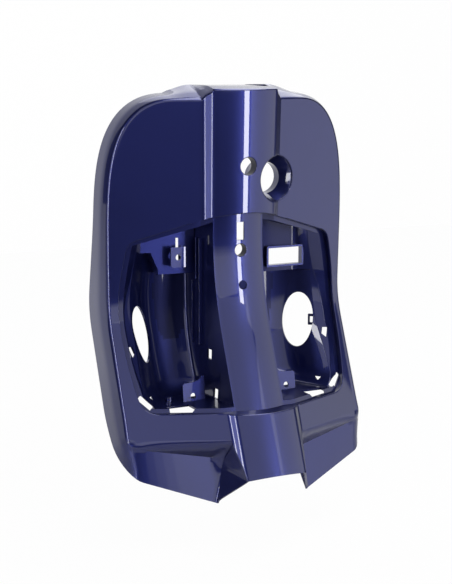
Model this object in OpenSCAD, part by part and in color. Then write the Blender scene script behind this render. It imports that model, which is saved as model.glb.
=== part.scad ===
// Inner leg shield of a motor scooter, one hollow plastic moulding.
// The rider sits on the -Y side. X runs across the scooter and Z is up.
// The origin is the middle of the bag hook's hole, on the front of the column.

/* [Moulding] */
// Thickness of the moulded wall
wall = 3; // [2.4:0.1:3.6]
// Reach of the rounded crease round the outline
crease_round = 5; // [3:0.5:7]
// How far the upper half leans back for each millimetre downwards
lean = 0.03; // [0:0.01:0.06]
// How far the lower half comes forward for each millimetre downwards
sweep = 0.4345; // [0.3:0.01:0.5]

/* [Outline] */
// Half width at the crease
wing_half_w = 198.5; // [185:0.5:210]
// Half width of the straight middle of the top crease
crown_half_w = 100; // [90:1:110]
// Height of the top crease above the hook hole
crown_z = 98; // [80:1:115]
// Depth where the rounded upper corners run out into the sides
side_z = -150; // [-170:1:-130]
// Height of the lower crease at the outer corners
crease_z = -403; // [-420:1:-390]
// How much lower the lower crease is beside the column
crease_drop = 25; // [18:1:30]
// How far the side crease lies behind the front of the column
wing_back = 51; // [40:1:60]
// Height at which the wings bend towards the rider
wing_bend_z = -219; // [-235:1:-205]
// Half length of that bend
wing_bend_h = 32; // [20:1:45]

/* [Flange] */
// Depth of the flange behind the crease, at the upper corners
flange_d = 38; // [28:1:48]
// Depth of the flange behind the crease, along the lower sides
flange_low_d = 60; // [50:1:66]
// How far the flange flares outwards
flange_flare = 8.5; // [4:0.5:12]
// Rise of the roof from the front of the column to its rear edge
roof_rise = 8; // [4:0.5:12]
// Depth of the roof's rear edge behind the hook hole
roof_back = 62; // [52:1:68]
// Height of the skirt below the crease, beside the column
skirt_in = 63; // [50:1:72]
// Height of the skirt below the crease, at the outer corners
skirt_out = 42; // [30:1:50]
// Half width between the skirt's inner tips
tip_half_w = 78; // [70:0.5:84]

/* [Column] */
// Half width of the column's front at the top
column_half_w = 52.8; // [48:0.2:56]
// Narrowing of that half width for each millimetre downwards
column_taper = 0.0071; // [0:0.001:0.012]
// Half width of the column's foot at the top
foot_half_w = 64.3; // [60:0.2:68]
// Narrowing of the foot for each millimetre downwards
foot_taper = 0.0125; // [0.004:0.0005:0.014]
// Depth of the column's side wall at the top
foot_d = 12; // [9:0.5:15]
// Height of the column's top edge
column_z = 110; // [100:1:125]
// Height of the column's lower end at its sides
column_end_z = -452; // [-460:1:-440]
// How much higher the lower end is at its middle
column_arch = 6; // [0:1:10]
// Bulge of the column's front
bulge = 13; // [8:0.5:16]
// Height at which the column bends towards the rider
column_bend_z = -173; // [-185:1:-160]
// Half length of that bend
column_bend_h = 80; // [60:1:95]

/* [Door recess] */
// Half width of the recess at its widest
door_half_w = 184; // [176:0.5:188]
// Half width of the recess at its upper corners
door_top_half_w = 169; // [160:0.5:174]
// Half width of the recess at its lower corners
door_foot_half_w = 171; // [162:0.5:176]
// Height of the recess's upper edge at the column
door_top_z = -72; // [-80:1:-66]
// Height of the recess's upper corners
door_corner_z = -112; // [-118:1:-104]
// Height of the widest point of the recess
door_wide_z = -225; // [-240:1:-205]
// Height of the recess's lower edge
door_foot_z = -358; // [-364:1:-352]
// Depth of the ledge that the door closes against
ledge_d = 10; // [7:0.5:13]
// Width of that ledge
ledge_w = 6; // [4:0.5:9]
// Depth of the recess over the column
inset_d = 20; // [16:0.5:23]
// Half width of the recessed column
inset_half_w = 40; // [37:0.5:43]
// Bulge of the recessed column's front
inset_bulge = 9.5; // [6:0.5:12]

/* [Pockets] */
// Depth of the pockets' back wall behind the hook hole
pocket_back = 116; // [108:1:120]
// How far the back wall comes forward for each millimetre below the hook hole
pocket_sweep = 0.02; // [0:0.005:0.04]
// How far its lower part comes forward for each millimetre downwards
pocket_lean = 0.45; // [0.3:0.05:0.5]
// Half width where the slanted outer wall meets the back wall
pocket_corner_x = 113; // [106:1:122]
// Rounding between the slanted wall and the back wall
pocket_round = 26; // [14:1:34]
// Height at which the back wall starts to come forward
floor_z = -270; // [-280:1:-260]
// Rounding between the back wall and the floor
floor_round = 22; // [12:1:28]
// Height of the step below the shallow upper part
step_z = -176; // [-182:1:-170]
// Depth of that upper part behind the hook hole
step_y = 86; // [80:1:92]
// Length of an oval opening along the slanted wall
oval_l = 51; // [40:1:56]
// Height of an oval opening
oval_h = 86; // [70:1:94]
// Height of the middle of the oval openings
oval_z = -257; // [-265:1:-245]
// Distance of the ovals from the middle
oval_x = 138; // [132:0.5:142]

// Greatest width of the band between the ledge and the slanted wall
blade_w = 13; // [6:0.5:14]
// Height of its widest point
blade_z = -246; // [-256:1:-236]

/* [Holes] */
// Radius of the bag hook's hole
hook_r = 13; // [10:0.5:14.5]
// Depth of the hook hole's collar
hook_d = 18; // [12:1:24]
// Radius of the lock's socket
lock_r = 30.5; // [26:0.5:33]
// Distance of the lock's socket to the right of the middle
lock_x = 51; // [46:1:56]
// Height of the lock's socket
lock_z = -22; // [-30:1:-16]
// Depth to which the lock's socket reaches
lock_d = 56; // [46:1:62]
// Radius of the steering shaft's hole in the roof
roof_hole_r = 20; // [14:0.5:22]
// Distance of the roof hole to the right of the middle
roof_hole_x = 36; // [30:1:40]
// Distance of the roof hole behind the column's front edge
roof_hole_y = 31; // [28:1:40]
// Radius of the latch hole in the recessed column
latch_r = 9.5; // [7:0.5:11]
// Height of the latch hole
latch_z = -128; // [-132:1:-124]
// Depth of the latch hole's collar
latch_d = 15; // [8:1:20]
// Width of the window in the recessed column
slot_w = 12; // [8:0.5:14]
// Height of that window
slot_h = 27; // [20:1:30]
// Height of its middle
slot_z = -99; // [-101:0.5:-97]

// Radius of the shallow dimple below the latch hole
dimple_r = 7; // [4:0.5:9]
// Height of the dimple
dimple_z = -180; // [-190:1:-170]

/* [Slots] */
// Width of a foot slot, in the ledge under a pocket
foot_slot_w = 36; // [20:1:40]
// Distance of the foot slots from the middle
foot_slot_x = 114; // [100:1:118]
// Length of a corner slot, in the ledge's lower outer corner
corner_slot_l = 26; // [16:1:30]
// Distance of the corner slots from the middle
corner_slot_x = 162; // [156:1:164]
// Height of the corner slots
corner_slot_z = -345; // [-348:1:-340]
// Width of a slot in the pocket's floor
floor_slot_w = 14; // [8:1:20]
// Distance of the floor slots from the middle
floor_slot_x = 149; // [136:1:150]
// Depth of their middle behind the hook hole
floor_slot_y = 33; // [24:1:44]
// Width of the slots in the floor behind the screw tabs
tab_slot_w = 20; // [10:1:24]
// Height of the slits in the pockets' walls
slit_h = 15; // [8:1:20]
// Width of those slits
slit_w = 14; // [6:1:16]

/* [Pocket fittings] */
// Width of the bracket in the left pocket's top
bracket_w = 25; // [16:1:30]
// Height of that bracket
bracket_h = 31; // [20:1:34]
// Distance of its hole from the middle
bracket_x = 79; // [70:1:84]
// Height of its hole
bracket_z = -141; // [-146:1:-134]
// How far the bracket stands off the wall
bracket_d = 16; // [8:1:24]
// Height by which the rails stand out of the pockets' inner walls
rail_t = 3; // [1.5:0.5:5]
// Width of the screw tabs
tab_w = 38; // [24:1:38]
// Thickness of the screw tabs
tab_t = 3; // [2.4:0.1:4]
// Distance of the tab holes from the middle
tab_x = 80; // [74:1:90]
// Depth of the tab holes behind the hook hole
tab_y = 18; // [6:1:24]
// Height of the tab holes
tab_z = -345; // [-346:1:-336]
// Height of the tabs above their holes
tab_rise = 20; // [10:1:22]
// Radius of the tab holes
tab_hole_r = 4.5; // [2.5:0.1:5]
// Width of the wiring port
port_w = 60; // [50:1:64]
// Height of the wiring port
port_h = 27; // [20:1:30]
// Distance of the port to the right of the middle
port_x = 111; // [109:1:113]
// Height of the port's middle
port_z = -152; // [-156:1:-148]

/* [Hidden] */
paint = [0.22, 0.23, 0.5];
// Backward tilt of the screw tabs, in degrees
tab_tilt = -8;
// Clear distance by which a cut runs past a face
past = 2;
// Points on a rounded corner of a section
corner_steps = 3;
// Superellipse exponents of the upper corners
crown_nx = 2.5;
crown_nz = 4;
corner_rows = 11;
// Height of the rolled edge under the wings, and how far it turns back beside the column
roll_h = 11;
roll_back = 28;
roll_drop = 2;
// Points of a front section between the column's foot and the crease
wing_shares = [0.2, 0.42, 0.64, 0.84, 0.95, 1];

// Gentle start of a bend: nothing before it, straight after it, parabolic between
function ramp(t, h) = t < -h ? 0 : t > h ? t : (t + h) * (t + h) / (4 * h);
function lerp(a, b, t) = a + (b - a) * t;
function clamp01(t) = max(0, min(1, t));
function smooth(t) = let (c = clamp01(t)) c * c * (3 - 2 * c);
function unit(v) = v / norm(v);
// Quadratic rounding of the corner c between a and b, reaching r along each side
function corner(a, c, b, r, n = corner_steps) =
    let (p = c + unit(a - c) * r, q = c + unit(b - c) * r)
    [for (k = [0 : n - 1]) let (t = k / (n - 1)) (1 - t) * (1 - t) * p + 2 * t * (1 - t) * c + t * t * q];

// The upright line of the column's front edge and of the wings, seen from the side
function column_y(z) = lean * (column_z - z) - sweep * ramp(column_bend_z - z, column_bend_h);
function wing_y(z) = lean * (column_z - z) - sweep * ramp(wing_bend_z - z, wing_bend_h);
function column_w(z) = column_half_w - column_taper * (column_z - z);
function foot_w(z) = foot_half_w - foot_taper * (column_z - z);
function foot_y(z) = column_y(z) + foot_d - 2.5 * (column_z - z) / (column_z - crease_z);
// Front face of a wing and of the column, without their roundings
function face_y(x, z) =
    let (ax = abs(x), cw = column_w(z), fw = foot_w(z))
    ax < cw ? column_y(z) - bulge * (1 - pow(ax / cw, 2)) :
    ax < fw ? lerp(column_y(z), foot_y(z), (ax - cw) / (fw - cw)) :
    lerp(foot_y(z), wing_y(z) + wing_back, (ax - fw) / (wing_half_w - fw));

// Half section of the front at height z, from the middle to the crease
function half_section(z, w) =
    let (cw = column_w(z), fw = foot_w(z), e = [cw, column_y(z)], f = [fw, foot_y(z)],
        inner = [cw * 0.9, column_y(z) - bulge * (1 - 0.81)])
    concat(
        [for (s = [0, 0.28, 0.54, 0.76]) [cw * s, column_y(z) - bulge * (1 - s * s)]],
        corner(inner, e, f, 3.2), corner(e, f, [w, face_y(w, z)], 3.5),
        [for (s = wing_shares) let (x = lerp(fw, w, s)) [x, face_y(x, z)]]);
half_n = len(half_section(0, 180));
edge_i = 6;

// Rows of the front, from the lower crease to the top one
low_rows = [-384, -375, -355, -335, -310, -288, -268, -251, -238, -226, -214, -202, -188, -170];
// Height up to which the rows follow the crease
spread_z = low_rows[5];
top_rows = [for (k = [1 : corner_rows]) let (a = 90 * k / corner_rows)
    [lerp(side_z, crown_z - crease_round * 0.6, pow(sin(a), 2 / crown_nz)),
     lerp(crown_half_w, wing_half_w - crease_round, pow(cos(a), 2 / crown_nx))]];
rows = concat([[crease_z + roll_h, wing_half_w - crease_round]],
    [for (z = low_rows) [z, wing_half_w - crease_round]],
    [[side_z, wing_half_w - crease_round]], top_rows);
row_n = len(rows);
span = 2 * half_n - 1;

// Height of grid point j of row i, as the end rows follow the crease and the column's ends
function drop(x) = roll_drop * clamp01((wing_half_w - x) / (wing_half_w - foot_half_w));
function end_z(j, x) = j < edge_i ?
    column_end_z + past + column_arch * (1 - pow(x / column_half_w, 2)) : rows[0][0] - drop(x);
function low_share(z) = clamp01((z - rows[0][0]) / (spread_z - rows[0][0]));
function point_z(i, j, x) =
    let (z = rows[i][0])
    i == row_n - 1 ? (j < edge_i ? column_z : z) : lerp(end_z(j, x), z, pow(low_share(z), 0.7)) ;
function point(i, j) =
    let (a = half_section(rows[i][0], rows[i][1]), z = point_z(i, j, a[j][0]),
        b = half_section(z, rows[i][1]))
    [b[j][0], b[j][1], z];
grid = [for (i = [0 : row_n - 1]) [for (j = [0 : half_n - 1]) point(i, j)]];
function mirrored(p) = [-p[0], p[1], p[2]];
function whole(row) = concat([for (j = [half_n - 1 : -1 : 1]) mirrored(row[j])], row);

// The rim of the sheet, clockwise from the lower middle: lower row, side, top row
function side_flare(i) = i < row_n - 1 && rows[i][0] > side_z ? let (
    t = (rows[i][0] - side_z) / (crown_z - side_z),
    u = (rows[i][1] - crown_half_w) / (wing_half_w - crown_half_w))
    unit([pow(max(u, 0.001), crown_nx - 1) / (wing_half_w - crown_half_w),
        pow(t, crown_nz - 1) / (crown_z - side_z)]) : [1, 0];
// Outward direction of each rim point in the front view
rim_dirs = concat(
    [for (j = [0 : half_n - 2]) [0, -1]],
    [[0.7, -0.7]],
    [for (i = [1 : row_n - 2]) side_flare(i)],
    [for (j = [half_n - 1 : -1 : 0]) [0, 1]]);
rim_base = concat(
    [for (j = [0 : half_n - 1]) grid[0][j]],
    [for (i = [1 : row_n - 2]) grid[i][half_n - 1]],
    [for (j = [half_n - 1 : -1 : 0]) grid[row_n - 1][j]]);
rim_n = len(rim_base);
function skirt_t(x) = clamp01((x - foot_half_w) / (wing_half_w - foot_half_w));
// Share of the flange's depth that is lost at height z, as it turns into the skirt
function turn(z) = pow(1 - clamp01((z - rows[0][0]) / 40), 4);
function flange_depth(z) = lerp(flange_d, flange_low_d, smooth((-60 - z) / 180)) * (1 - 0.6 * turn(z));
// Lower crease at rim point k: under the rolled edge, further back towards the column
function low_crease(k) = let (b = rim_base[k], t = skirt_t(b[0]))
    [b[0] + crease_round * t, face_y(b[0], crease_z) + roll_back * (1 - t), crease_z - crease_drop * (1 - t)];
// Far edge of the skirt below, or of the flange behind, rim point k
function rim_end(k) =
    let (b = rim_base[k], d = rim_dirs[k], i = k - half_n + 1, t = skirt_t(b[0]))
    k < edge_i ? [b[0], b[1] - past * sweep, b[2] - past] :
    k < half_n - 1 ? let (c = low_crease(k))
        [tip_half_w + t * (wing_half_w + 8 - tip_half_w) + min(0, b[0] - foot_half_w) * 0.15,
         c[1] - lerp(12, 4, t), c[2] - lerp(skirt_in, skirt_out, t)] :
    i < row_n - 1 ?
        [b[0] + (d[0] + (1 - d[0]) * (i < 2 ? 1 : 0)) * (crease_round + flange_flare),
         b[1] + flange_depth(b[2]),
         b[2] + d[1] * (crease_round * 0.6 + flange_flare) - (skirt_out - 6) * turn(b[2])] :
    let (share = smooth((b[0] - foot_half_w) / 55))
    [b[0], lerp(roof_back, b[1] + flange_d + 2, share),
     lerp(column_z + roof_rise, b[2] + flange_flare + crease_round * 0.6, share)];
// Rounded crease: its corner lies a little beyond the sheet's edge
function rim_corner(k) =
    let (b = rim_base[k], d = rim_dirs[k])
    k < edge_i ? lerp(b, rim_end(k), 0.3) :
    k < half_n - 1 ? low_crease(k) :
    k == half_n - 1 ? [b[0] + crease_round, b[1] + crease_round * 0.25, crease_z] :
    [b[0] + d[0] * crease_round, b[1] + crease_round * 0.25 * d[0], b[2] + d[1] * crease_round * 0.6];
function rim_mid(k) =
    let (c = rim_corner(k), e = rim_end(k), d = rim_dirs[k])
    k < half_n - 1 ? lerp(c, e, 0.5) : lerp(c, e, 0.4) + [d[0], 0, d[1]] * flange_flare * 0.3;
function rim_soft(k) = let (b = rim_base[k], c = rim_corner(k), m = rim_mid(k), q = lerp(c, m, 0.25))
    k < half_n - 1 && k >= edge_i ? [0.25 * b + 0.25 * c + 0.5 * (b + [0, -0.35, -0.9] * roll_h), c] :
    [0.25 * b + 0.5 * c + 0.25 * q, q];
outer_loops = [
    [for (k = [0 : rim_n - 1]) rim_base[k]],
    [for (k = [0 : rim_n - 1]) rim_soft(k)[0]],
    [for (k = [0 : rim_n - 1]) rim_soft(k)[1]],
    [for (k = [0 : rim_n - 1]) rim_mid(k)],
    [for (k = [0 : rim_n - 1]) rim_end(k)]];
// Direction into the part's hollow side at rim point k
function inward(k) =
    let (d = rim_dirs[k])
    k < edge_i ? [0, 1, 0] :
    k < half_n - 2 ? [0, 1, 0] :
    k < half_n + 2 ? 1.3 * unit([-1, [3, 1, 0.6, 0.2][k - half_n + 2], 0]) :
    k < rim_n - 1 - edge_i - 3 ? [-d[0], 0, -d[1]] :
    k < rim_n - edge_i ? [-0.7, 0, -0.8] : [0, 0, -1];

// Inner side of the front grid: the section moved back by one wall
function inner_point(i, j) =
    let (p = grid[i][j], x = p[0],
        dx = j == 0 ? 0 : j <= edge_i + 2 ? -0.35 * j / edge_i : 0)
    [x + dx * wall, p[1] + wall * 1.02, p[2]];
inner_grid = [for (i = [0 : row_n - 1]) [for (j = [0 : half_n - 1]) inner_point(i, j)]];
inner_base = concat(
    [for (j = [0 : half_n - 1]) inner_grid[0][j]],
    [for (i = [1 : row_n - 2]) inner_grid[i][half_n - 1]],
    [for (j = [half_n - 1 : -1 : 0]) inner_grid[row_n - 1][j]]);
function inner_crease(k) =
    k < edge_i ? rim_corner(k) + inward(k) * wall :
    k < half_n - 1 ? rim_corner(k) + (inward(k) + [0, 0, 0.4]) * wall :
    lerp(rim_corner(k), rim_mid(k), 0.25) + inward(k) * wall;
inner_loops = [
    [for (k = [0 : rim_n - 1]) rim_end(k) + inward(k) * wall],
    [for (k = [0 : rim_n - 1]) rim_mid(k) + inward(k) * wall],
    [for (k = [0 : rim_n - 1]) inner_crease(k)],
    [for (k = [0 : rim_n - 1]) lerp(inner_base[k], inner_crease(k), 0.5)]];
loop_n = 4 + len(inner_loops);

// One closed skin: the front grid, the loops of the rim, and the inner grid
function flat(v) = [for (a = v) for (b = a) b];
function both(loop) = concat([for (k = [rim_n - 2 : -1 : 1]) mirrored(loop[k])], loop);
skin_grid = [for (row = grid) whole(row)];
skin_inner = [for (row = inner_grid) whole(row)];
cell = row_n * span;
ring_n = 2 * rim_n - 2;
function grid_id(i, j) = i * span + j + half_n - 1;
// Grid index of rim point k, counted from -(rim_n - 2) on the left to rim_n - 1 on the right
function rim_id(k) =
    let (s = k < 0 ? -1 : 1, a = abs(k))
    a < half_n ? grid_id(0, s * a) :
    a < half_n + row_n - 2 ? grid_id(a - half_n + 1, s * (half_n - 1)) :
    grid_id(row_n - 1, s * (rim_n - 1 - a));
loop_base = 2 * cell;
function loop_id(l, k) = loop_base + l * ring_n + (k + ring_n) % ring_n;
function id_of(l, k) = l == 0 ? rim_id(k > rim_n - 1 ? k - ring_n : k) :
    l > loop_n ? cell + rim_id(k > rim_n - 1 ? k - ring_n : k) : loop_id(l - 1, k);
function ring_points(loop) = [for (k = [0 : ring_n - 1]) k < rim_n ? loop[k] : mirrored(loop[ring_n - k])];
skin_points = concat(flat(skin_grid), flat(skin_inner),
    flat([for (l = [1 : 4]) ring_points(outer_loops[l])]),
    flat([for (l = inner_loops) ring_points(l)]));
skin_faces = concat(
    [for (i = [0 : row_n - 2]) for (j = [0 : span - 2]) for (t = [0, 1])
        let (a = i * span + j, b = a + 1, c = a + span + 1, d = a + span)
        t == 0 ? [a, d, b] : [b, d, c]],
    [for (i = [0 : row_n - 2]) for (j = [0 : span - 2]) for (t = [0, 1])
        let (a = cell + i * span + j, b = a + 1, c = a + span + 1, d = a + span)
        t == 0 ? [a, b, d] : [b, c, d]],
    [for (l = [0 : loop_n]) for (k = [0 : ring_n - 1]) for (t = [0, 1])
        let (a = id_of(l, k), b = id_of(l, (k + 1)), c = id_of(l + 1, (k + 1)), d = id_of(l + 1, k))
        t == 0 ? [a, b, d] : [b, c, d]]);

module skin() {
    polyhedron(skin_points, skin_faces, convexity = 8);
}

// Stacked sections, lowest first and each anticlockwise from above, as one closed solid
module loft(sections) {
    n = len(sections[0]);
    m = len(sections);
    polyhedron(flat(sections), concat(
        [[for (j = [0 : n - 1]) j]],
        [[for (j = [n - 1 : -1 : 0]) (m - 1) * n + j]],
        [for (i = [0 : m - 2]) for (j = [0 : n - 1]) for (t = [0, 1])
            let (a = i * n + j, b = i * n + (j + 1) % n, c = b + n, d = a + n)
            t == 0 ? [a, d, b] : [b, d, c]]), convexity = 6);
}

// Outline of the door recess in the front view
function door_side(z) =
    let (t = (z - door_wide_z) / (z > door_wide_z ? door_corner_z - door_wide_z : door_wide_z - door_foot_z))
    door_half_w - t * t * (door_half_w - (z > door_wide_z ? door_top_half_w : door_foot_half_w));
function door_half() = concat(
    [[0, door_top_z + 2], [column_half_w, door_top_z - 4]],
    corner([column_half_w, door_top_z - 4], [door_top_half_w, door_corner_z],
        [door_side(door_corner_z - 20), door_corner_z - 20], 12, 5),
    [for (t = [0.82, 0.62, 0.42, 0.2, 0, -0.3, -0.55])
        let (z = door_wide_z + t * (t > 0 ? door_corner_z - door_wide_z : door_wide_z - door_foot_z))
        [door_side(z), z]],
    corner([door_side(door_foot_z + 40), door_foot_z + 40], [door_foot_half_w, door_foot_z],
        [0, door_foot_z], 24, 6),
    [[0, door_foot_z]]);
module door_outline(o = 0) {
    rotate([90, 0, 0]) linear_extrude(400, center = true) offset(delta = o) {
        polygon(door_half());
        mirror([1, 0]) polygon(door_half());
    }
}
// Floor of the door recess: a ledge beside the column, a bulged face over it
function ledge_y(x, z) = face_y(max(x, foot_w(z)), z) + ledge_d;
function inset_y(x, z) = column_y(z) + inset_d - inset_bulge * (1 - pow(x / inset_half_w, 2));
recess_z = [for (k = [0 : 15]) lerp(door_foot_z - 27, door_top_z + 12, k / 15)];
function recess_section(z, o) = let (front = column_y(z) - 60, half = concat(
        [[wing_half_w, front], [wing_half_w, ledge_y(wing_half_w, z) + o],
         [foot_w(z), ledge_y(foot_w(z), z) + o]],
        [for (s = [1, 0.93, 0.7, 0.36])
            [inset_half_w * s + (s == 1 ? 1.5 : 0), inset_y(inset_half_w * s, z) + o]]))
    concat([for (p = half) [p[0], p[1], z]], [[0, inset_y(0, z) + o, z]],
        [for (k = [len(half) - 1 : -1 : 0]) [-half[k][0], half[k][1], z]]);
module recess(o) {
    loft([for (z = recess_z) recess_section(z, o)]);
}
// All that lies behind the middle of the front's wall
slab_z = concat(recess_z, [-40, 0, 40, 80]);
function slab_section(z) = let (half = [for (x = [16, 34, column_w(z) - 1, foot_w(z) + 1, wing_half_w - 4])
        [x, face_y(x, z) + wall / 2]])
    concat([[wing_half_w - 4, 140, z], [4 - wing_half_w, 140, z]],
        [for (k = [len(half) - 1 : -1 : 0]) [-half[k][0], half[k][1], z]],
        [[0, face_y(0, z) + wall / 2, z]], [for (p = half) [p[0], p[1], z]]);
module behind_front() {
    loft([for (z = slab_z) slab_section(z)]);
}

// A pocket: slanted outer wall, back wall, level floor, and a shallower part at its top
pocket_floor_z = door_foot_z + ledge_w;
blade_half_h = 82;
step_corner_x = 132;
block_in = inset_half_w + 7;
block_low_w = 105;
block_w = 150;
block_foot = step_z + 8;
block_high = block_foot + 34;
block_top = door_top_z + 12;
function back_y(z) = pocket_back + pocket_sweep * z - pocket_lean * ramp(floor_z - z, 60);
function floor_curve(z) = let (h = clamp01((z - pocket_floor_z) / floor_round))
    floor_round * (1 - sqrt(1 - (1 - h) * (1 - h)));
pocket_z = concat([for (h = [0, 0.08, 0.25, 0.55, 1]) pocket_floor_z + h * floor_round],
    [for (t = [0.2, 0.4, 0.6, 0.8, 1]) lerp(pocket_floor_z + floor_round, step_z - 3, t)], [step_z, -135]);
function pocket_top(x) = lerp(door_top_z - 6, door_corner_z, clamp01((x - 50) / 115)) - ledge_w;
foot_bend_h = 24;
function pocket_side(z) = door_side(z) - ledge_w
    - (z < door_foot_z + foot_bend_h ? 14 * pow((door_foot_z + foot_bend_h - z) / foot_bend_h, 2) : 0);
// A lens-shaped band lies between the ledge and the slanted wall: its inner edge, and its width there
function blade_edge(z, out, y0) = let (b = clamp01((z - door_foot_z - 30) / 70))
    [out - 10 - 10 * b, y0 + 5 + 8 * b];
function blade(z) = max(1, blade_w * (1 - pow((z - blade_z) / blade_half_h, 2)));
function pocket_section(z, o, stepped) =
    let (out = pocket_side(z), front = o > 0 ? -1 : 6, y0 = ledge_y(out, z),
        high = stepped && z >= step_z,
        yb = (high ? step_y : back_y(z) - floor_curve(z)) + o,
        strip = blade_edge(z, out, y0) + [o * 0.4, o],
        back = [high ? step_corner_x : pocket_corner_x + o * 0.4, yb],
        inner = [inset_half_w + 8 - o, yb])
    concat(
        [[inset_half_w + 1 - o, inset_y(inset_half_w, z) - front],
         [foot_w(z), ledge_y(foot_w(z), z) - front],
         [out + o, y0 - front], strip + blade(z) * [1, -0.4] + [o * 0.3, -o * 0.2], strip],
        corner(strip, back, inner, high ? 6 : pocket_round, 5),
        [inner + [5, 0], inner + [0, -5]]);
module pocket(o, stepped) {
    loft(concat(
        [[for (p = pocket_section(pocket_floor_z, o, stepped)) [p[0], p[1], pocket_floor_z - o]]],
        [for (i = [1 : len(pocket_z) - 1])
            [for (p = pocket_section(pocket_z[i], o, stepped)) [p[0], p[1], pocket_z[i]]]],
        [[for (p = pocket_section(door_corner_z - ledge_w, o, stepped))
            [p[0], p[1], pocket_top(p[0]) + o]]]));
}
module pockets(o) {
    pocket(o, true);
    mirror([1, 0, 0]) pocket(o, false);
}
// The left pocket's upper wall: a shallow block whose outer part stops higher up. Hollow from behind.
module block(o) {
    translate([0, step_y + o, 0]) rotate([90, 0, 0]) mirror([0, 0, 1]) linear_extrude(60)
        offset(delta = -o) polygon([
            [-block_in, block_foot], [-block_low_w, block_foot], [-block_low_w - 1, block_foot + 8],
            [-block_low_w - 12, block_high], [-block_w, block_high], [-block_w, block_top],
            [-block_in, block_top]]);
}
module both_sides() {
    children();
    mirror([1, 0, 0]) children();
}
// Oval opening square to the slanted wall
module oval_place() {
    translate([oval_x, back_y(oval_z) + (pocket_corner_x - oval_x) * tan(43), oval_z]) rotate([0, 0, 47])
        rotate([90, 0, 90]) children();
}
module oval() {
    oval_place() linear_extrude(60, center = true) scale([oval_l / oval_h, 1]) circle(d = oval_h, $fn = 40);
}

// Wiring port on the right: a window with a raised lip in the upper back wall
module port(grow, y0, y1) {
    translate([port_x - port_w / 2 - grow, y0, port_z - port_h / 2 - grow])
        cube([port_w + 2 * grow, y1 - y0, port_h + 2 * grow]);
}
// Screw tab standing on a pocket's floor beside the column, with its top sweeping up towards the column
module tab_plate() {
    foot = pocket_floor_z - tab_z - 2;
    translate([tab_x, tab_y, tab_z]) rotate([tab_tilt, 0, 0]) rotate([90, 0, 0])
        linear_extrude(tab_t, center = true) polygon([
            [-tab_w * 0.55, foot], [tab_w * 0.45, foot], [tab_w * 0.45, tab_rise * 0.85],
            [tab_w * 0.38, tab_rise], [-tab_w * 0.1, tab_rise * 1.05], [-tab_w * 0.3, tab_rise * 1.15],
            [-tab_w * 0.42, tab_rise * 1.4], [-tab_w * 0.55, tab_rise * 1.45]]);
}
module tab_bore() {
    translate([tab_x, tab_y, tab_z]) rotate([90 + tab_tilt, 0, 0])
        cylinder(r = tab_hole_r, h = 20, center = true, $fn = 32);
}

// Height of the slit behind the bracket
bracket_slit_h = 38;
// Bracket with a screw hole, standing off the left pocket's upper wall in front of a slit
module bracket() {
    face = step_y - bracket_d;
    translate([-bracket_x - bracket_w / 2, face, bracket_z - bracket_h / 2])
        cube([bracket_w, wall, bracket_h]);
    translate([-bracket_x + bracket_w / 2 - wall, face, bracket_z - bracket_h / 2])
        cube([wall, bracket_d + wall / 2, bracket_h]);
}
module bracket_cuts() {
    face = step_y - bracket_d;
    along_y(-bracket_x, bracket_z, tab_hole_r, face - past, face + wall + past, 32);
    translate([-bracket_x + 2, step_y - past, bracket_z - 10])
        cube([bracket_w / 2 - wall - 2, wall + 2 * past, bracket_slit_h]);
}
// Upright rails on a pocket's inner wall: distance in front of the upper wall, foot and top
rail_foot_z = pocket_floor_z + 75;
rail_places = [[4, rail_foot_z, step_z - 4], [18, step_z, door_corner_z],
    [30, rail_foot_z, door_corner_z]];
module rails() {
    for (r = rail_places) translate([inset_half_w + 4.5, step_y - r[0], r[1]])
        cube([3.5 + rail_t, rail_t, r[2] - r[1]]);
}
// Slots in the floor behind the screw tabs
module tab_slots() {
    for (x = [-tab_x + 16, tab_x + 16])
        translate([x - tab_slot_w / 2, tab_y + 22, pocket_floor_z - 2 * wall])
        cube([tab_slot_w, 26, 3 * wall]);
}
// Boss on the left pocket's floor
module floor_boss() {
    translate([-foot_slot_x, floor_slot_y - 3, pocket_floor_z - wall / 2])
        cylinder(r = tab_hole_r + 1, h = 8, $fn = 24);
}
// Staple that reaches into the right oval opening from its outer edge
module staple() {
    at = oval_l / 2 + 2;
    oval_place() translate([-at, 0, 0]) difference() {
        translate([0, -9, 0]) cube([11, 18, wall]);
        translate([-past, -5, -past]) cube([8 + past, 10, wall + 2 * past]);
    }
}
// Depth and height of each slit in a pocket's inner wall, and the place of the outer wall's slit
inner_slits = [[34, -287], [12, -344]];
outer_slit = [172, 54, -275];
// Openings in the ledge's foot and corner, the floor and the walls of a pocket
module slots() {
    foot_y = ledge_y(foot_slot_x, door_foot_z);
    corner_y = ledge_y(corner_slot_x, corner_slot_z);
    translate([foot_slot_x - foot_slot_w / 2, foot_y - past - wall, door_foot_z])
        cube([foot_slot_w, 26, ledge_w + 1]);
    translate([corner_slot_x, corner_y + 6, corner_slot_z]) rotate([0, -45, 0])
        cube([corner_slot_l, 22, 8], center = true);
    translate([floor_slot_x - floor_slot_w / 2, floor_slot_y - 8, pocket_floor_z - 2 * wall])
        cube([floor_slot_w, 16, 5.5 * wall]);
    for (p = inner_slits) translate([inset_half_w - 3, p[0] - slit_w / 2, p[1] - slit_h / 2])
        cube([14, slit_w, slit_h]);
    translate(outer_slit) rotate([0, 0, 47]) cube([24, 8, slit_h], center = true);
}

// Straight tube along Y with its front face at y0 and its back at y1
module along_y(x, z, r, y0, y1, fn = 48) {
    translate([x, y1, z]) rotate([90, 0, 0]) cylinder(r = r, h = y1 - y0, $fn = fn);
}
hook_y = face_y(0, 0);
latch_y = inset_y(0, latch_z);

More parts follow.
